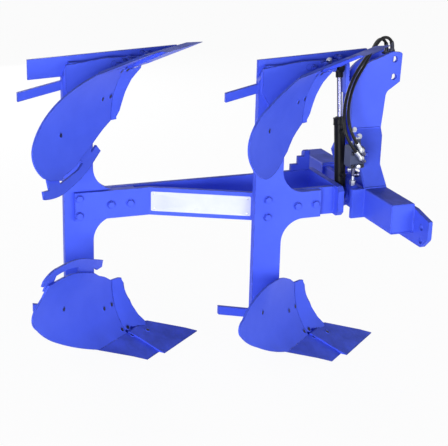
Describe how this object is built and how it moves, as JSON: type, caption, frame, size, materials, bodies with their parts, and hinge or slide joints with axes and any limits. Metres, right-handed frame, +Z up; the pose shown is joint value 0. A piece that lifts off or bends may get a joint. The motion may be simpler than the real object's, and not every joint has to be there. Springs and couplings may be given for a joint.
{
  "type": "reversible mouldboard plough",
  "caption": "Mounted reversible plough with paired mouldboard bodies above and below a turning beam, hydraulic turnover cylinder, hitch headstock and hoses.",
  "frame": {"origin": "middle of the plan, on the ground under the points and wings of the lower shares", "axes": "+X forward along the beam toward the tractor, +Y to the left, +Z up"},
  "size_m": [1.6131, 1.076, 1.2774],
  "materials": {
    "blue_paint": "satin",
    "black_paint": "satin",
    "grey_paint": "satin",
    "chrome": "polished",
    "dark_steel": "dull",
    "rubber": "matte"
  },
  "bodies": {
    "headstock": {"tower_cheek_left": "blue_paint", "tower_cheek_right": "blue_paint", "tower_flare_left": "blue_paint", "tower_flare_right": "blue_paint", "tower_head_left": "blue_paint", "tower_head_right": "blue_paint", "pivot_housing": "blue_paint", "cross_beam_left": "blue_paint", "cross_beam_right": "blue_paint", "hitch_plate_left": "blue_paint", "hitch_plate_right": "blue_paint", "tower_web": "blue_paint", "rod_bracket": "blue_paint", "valve_block": "grey_paint", "valve_bracket": "blue_paint", "valve_fittings": "chrome", "couplers": "dark_steel", "hose_1": "rubber", "hose_2": "rubber"},
    "turning_frame": {"beam_far_plate": "blue_paint", "beam_near_plate": "blue_paint", "beam_stop": "blue_paint", "front_leg": "blue_paint", "front_lower_frog": "blue_paint", "front_lower_heel_bar": "blue_paint", "front_lower_landside": "blue_paint", "front_lower_mouldboard": "blue_paint", "front_lower_share": "blue_paint", "front_lower_shin": "blue_paint", "front_upper_frog": "blue_paint", "front_upper_heel_bar": "blue_paint", "front_upper_landside": "blue_paint", "front_upper_mouldboard": "blue_paint", "front_upper_share": "blue_paint", "front_upper_shin": "blue_paint", "rear_leg": "blue_paint", "rear_lower_extension": "blue_paint", "rear_lower_frog": "blue_paint", "rear_lower_heel_bar": "blue_paint", "rear_lower_landside": "blue_paint", "rear_lower_mouldboard": "blue_paint", "rear_lower_share": "blue_paint", "rear_lower_shin": "blue_paint", "rear_upper_extension": "blue_paint", "rear_upper_frog": "blue_paint", "rear_upper_heel_bar": "blue_paint", "rear_upper_landside": "blue_paint", "rear_upper_mouldboard": "blue_paint", "rear_upper_share": "blue_paint", "rear_upper_shin": "blue_paint", "turning_head": "blue_paint", "turnover_shaft": "blue_paint"},
    "cylinder_barrel": {"cylinder_barrel": "black_paint"},
    "cylinder_rod": {"cylinder_rod": "chrome", "rod_eye": "black_paint"}
  },
  "joints": [
    {"name": "turnover", "type": "hinge", "parent": "headstock", "child": "turning_frame", "pos_m": [0.51247, 0, 0.628], "axis": [-1, 0, 0], "range_deg": [0, 180]},
    {"name": "barrel_swing", "type": "hinge", "parent": "turning_frame", "child": "cylinder_barrel", "pos_m": [0.54047, -0.072, 0.628], "axis": [-1, 0, 0], "range_deg": [-196.09, 0.5]},
    {"name": "rod_slide", "type": "slide", "parent": "cylinder_barrel", "child": "cylinder_rod", "axis": [0, 0.1356, 0.9908], "range_m": [-0.077, 0]}
  ],
  "couplings": [
    {"joint": "barrel_swing", "follows": "turnover", "ratio": -1.0866}
  ]
}
